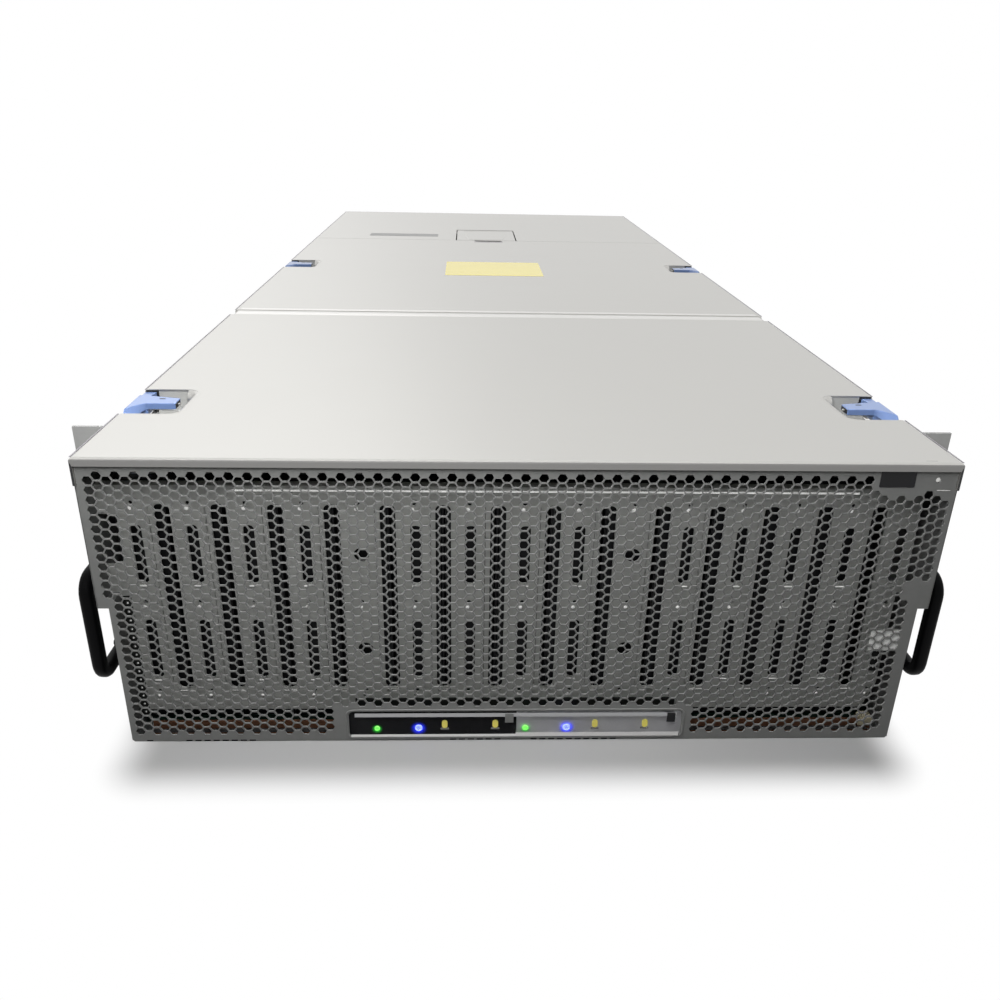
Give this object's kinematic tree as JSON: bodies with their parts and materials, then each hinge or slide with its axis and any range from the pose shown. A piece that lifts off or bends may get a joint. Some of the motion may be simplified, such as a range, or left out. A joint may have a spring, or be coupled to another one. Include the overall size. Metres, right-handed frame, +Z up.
{
  "type": "storage server",
  "caption": "Deep rack-mounted storage server with perforated front, lift-off latched covers over top-loaded drives, fans, pull-out server sleds and power supplies.",
  "frame": {"origin": "middle of the base, at the middle of the overall length and width", "axes": "+Z up, +X to the right seen from the front, front panel towards -Y, rear towards +Y"},
  "size_m": [0.4826, 1.098, 0.173],
  "materials": {
    "cover_steel": "satin zinc-coated steel",
    "chassis_steel": "plain zinc-coated steel",
    "grille_grey": "grey satin",
    "baffle_steel": "plain zinc-coated steel",
    "handle_black": "black satin",
    "latch_blue": "light blue moulded",
    "window_clear": "clear",
    "insert_black": "black gloss",
    "insert_silver": "silver-grey satin",
    "board_green": "green solder mask",
    "led_green": "lit green",
    "led_blue": "lit blue",
    "led_amber": "unlit amber",
    "copper_strip": "bare copper",
    "drive_metal": "cast and machined",
    "fan_black": "black moulded",
    "heatsink_metal": "extruded fins",
    "memory_black": "dark board",
    "button_black": "black moulded",
    "psu_metal": "plain sheet"
  },
  "bodies": {
    "chassis": {"chassis_floor": "chassis_steel", "side_wall_left": "chassis_steel", "side_wall_right": "chassis_steel", "front_grille": "grille_grey", "front_baffle": "baffle_steel", "rack_ear_left": "grille_grey", "rack_ear_right": "grille_grey", "handle_left": "handle_black", "handle_right": "handle_black", "indicator_window": "window_clear", "indicator_insert_left": "insert_black", "indicator_insert_right": "insert_silver", "indicator_board": "board_green", "leds_green": "led_green", "leds_blue": "led_blue", "leds_amber": "led_amber", "grounding_strip": "copper_strip", "drive_dividers": "baffle_steel", "backplane_front": "board_green", "backplane_rear": "board_green", "drives_front": "drive_metal", "drives_rear": "drive_metal", "cover_crossbar": "cover_steel", "fan_wall": "chassis_steel", "fan_frames": "fan_black", "midplane_board": "board_green", "sled_shelves": "chassis_steel", "rear_vent_panel": "chassis_steel"},
    "front_cover": {"front_cover": "cover_steel", "front_cover_pans": "cover_steel"},
    "mid_cover": {"mid_cover": "cover_steel", "mid_cover_pans": "cover_steel"},
    "rear_cover": {"rear_cover": "cover_steel"},
    "front_latch_left": {"front_latch_left": "latch_blue"},
    "front_latch_right": {"front_latch_right": "latch_blue"},
    "mid_latch_left": {"mid_latch_left": "latch_blue"},
    "mid_latch_right": {"mid_latch_right": "latch_blue"},
    "rear_cover_latch": {"rear_cover_latch": "cover_steel"},
    "fan_1": {"fan_rotor_1": "fan_black"},
    "fan_2": {"fan_rotor_2": "fan_black"},
    "fan_3": {"fan_rotor_3": "fan_black"},
    "fan_4": {"fan_rotor_4": "fan_black"},
    "sled_1": {"sled_1_tray": "chassis_steel", "sled_1_board": "board_green", "sled_1_heatsinks": "heatsink_metal", "sled_1_memory": "memory_black"},
    "sled_1_lever": {"sled_1_lever": "latch_blue"},
    "sled_1_button": {"sled_1_button": "button_black"},
    "sled_2": {"sled_2_tray": "chassis_steel", "sled_2_board": "board_green", "sled_2_heatsinks": "heatsink_metal", "sled_2_memory": "memory_black"},
    "sled_2_lever": {"sled_2_lever": "latch_blue"},
    "sled_2_button": {"sled_2_button": "button_black"},
    "psu_1": {"psu_1_case": "psu_metal", "psu_1_handle": "handle_black"},
    "psu_1_latch": {"psu_1_latch": "latch_blue"},
    "psu_2": {"psu_2_case": "psu_metal", "psu_2_handle": "handle_black"},
    "psu_2_latch": {"psu_2_latch": "latch_blue"}
  },
  "joints": [
    {"name": "front_cover_lift", "type": "slide", "parent": "chassis", "child": "front_cover", "axis": [0, 0, 1], "range_m": [0, 0.15]},
    {"name": "mid_cover_lift", "type": "slide", "parent": "chassis", "child": "mid_cover", "axis": [0, 0, 1], "range_m": [0, 0.15]},
    {"name": "rear_cover_lift", "type": "slide", "parent": "chassis", "child": "rear_cover", "axis": [0, 0, 1], "range_m": [0, 0.15]},
    {"name": "front_latch_left_turn", "type": "hinge", "parent": "front_cover", "child": "front_latch_left", "pos_m": [-0.216, -0.458, 0.167], "axis": [0, -1, 0], "range_deg": [0, 75]},
    {"name": "front_latch_right_turn", "type": "hinge", "parent": "front_cover", "child": "front_latch_right", "pos_m": [0.216, -0.458, 0.167], "axis": [0, 1, 0], "range_deg": [0, 75]},
    {"name": "mid_latch_left_turn", "type": "hinge", "parent": "mid_cover", "child": "mid_latch_left", "pos_m": [-0.216, 0.032, 0.167], "axis": [0, -1, 0], "range_deg": [0, 75]},
    {"name": "mid_latch_right_turn", "type": "hinge", "parent": "mid_cover", "child": "mid_latch_right", "pos_m": [0.216, 0.032, 0.167], "axis": [0, 1, 0], "range_deg": [0, 75]},
    {"name": "rear_cover_latch_turn", "type": "hinge", "parent": "rear_cover", "child": "rear_cover_latch", "pos_m": [-0.0045, 0.329, 0.1685], "axis": [-1, 0, 0], "range_deg": [0, 60]},
    {"name": "fan_1_spin", "type": "hinge", "parent": "chassis", "child": "fan_1", "pos_m": [-0.156, 0.141, 0.084], "axis": [0, 1, 0], "continuous": true},
    {"name": "fan_2_spin", "type": "hinge", "parent": "chassis", "child": "fan_2", "pos_m": [-0.052, 0.141, 0.084], "axis": [0, 1, 0], "continuous": true},
    {"name": "fan_3_spin", "type": "hinge", "parent": "chassis", "child": "fan_3", "pos_m": [0.052, 0.141, 0.084], "axis": [0, 1, 0], "continuous": true},
    {"name": "fan_4_spin", "type": "hinge", "parent": "chassis", "child": "fan_4", "pos_m": [0.156, 0.141, 0.084], "axis": [0, 1, 0], "continuous": true},
    {"name": "sled_1_slide", "type": "slide", "parent": "chassis", "child": "sled_1", "axis": [0, 1, 0], "range_m": [0, 0.28]},
    {"name": "sled_1_lever_turn", "type": "hinge", "parent": "sled_1", "child": "sled_1_lever", "pos_m": [0.206, 0.53, 0.1335], "axis": [0, 0, -1], "range_deg": [0, 75]},
    {"name": "sled_1_button_press", "type": "slide", "parent": "sled_1", "child": "sled_1_button", "axis": [0, -1, 0], "range_m": [0, 0.0015], "stiffness_N_per_m": 400},
    {"name": "sled_2_slide", "type": "slide", "parent": "chassis", "child": "sled_2", "axis": [0, 1, 0], "range_m": [0, 0.28]},
    {"name": "sled_2_lever_turn", "type": "hinge", "parent": "sled_2", "child": "sled_2_lever", "pos_m": [0.206, 0.53, 0.073], "axis": [0, 0, -1], "range_deg": [0, 75]},
    {"name": "sled_2_button_press", "type": "slide", "parent": "sled_2", "child": "sled_2_button", "axis": [0, -1, 0], "range_m": [0, 0.0015], "stiffness_N_per_m": 400},
    {"name": "psu_1_slide", "type": "slide", "parent": "chassis", "child": "psu_1", "axis": [0, 1, 0], "range_m": [0, 0.27]},
    {"name": "psu_1_latch_press", "type": "slide", "parent": "psu_1", "child": "psu_1_latch", "axis": [1, 0, 0], "range_m": [0, 0.006], "stiffness_N_per_m": 300},
    {"name": "psu_2_slide", "type": "slide", "parent": "chassis", "child": "psu_2", "axis": [0, 1, 0], "range_m": [0, 0.27]},
    {"name": "psu_2_latch_press", "type": "slide", "parent": "psu_2", "child": "psu_2_latch", "axis": [1, 0, 0], "range_m": [0, 0.006], "stiffness_N_per_m": 300}
  ]
}
